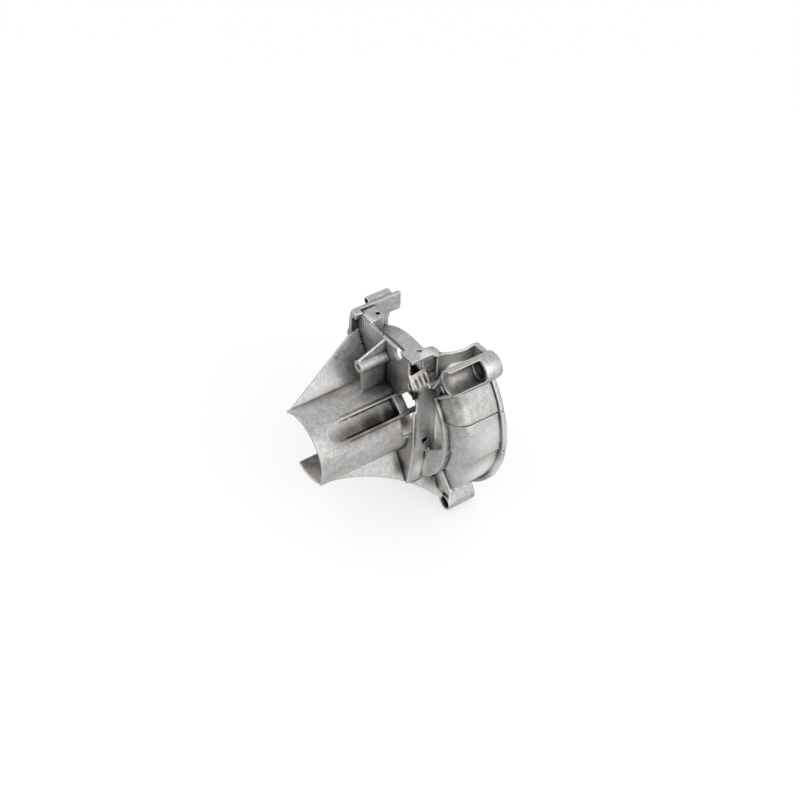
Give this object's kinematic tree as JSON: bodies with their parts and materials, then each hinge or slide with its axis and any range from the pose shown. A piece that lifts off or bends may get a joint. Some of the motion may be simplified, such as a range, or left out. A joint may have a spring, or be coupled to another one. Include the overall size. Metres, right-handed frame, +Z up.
{
  "type": "clutch housing",
  "caption": "Die-cast clutch bell housing with a long nose tube, open top, webs, mounting pads and flange bolt bosses.",
  "frame": {"origin": "centre of the nose tube's front mouth, on the clutch axis", "axes": "+Y along the clutch axis from the nose tube's mouth to the engine face, +Z up to the mounting pads, +X to the side with the open spanner tower"},
  "size_m": [0.242, 0.175, 0.2223],
  "materials": {
    "casting": "as cast, tumbled, lightly stained"
  },
  "bodies": {
    "root": {"clutch_housing": "casting"}
  },
  "joints": []
}
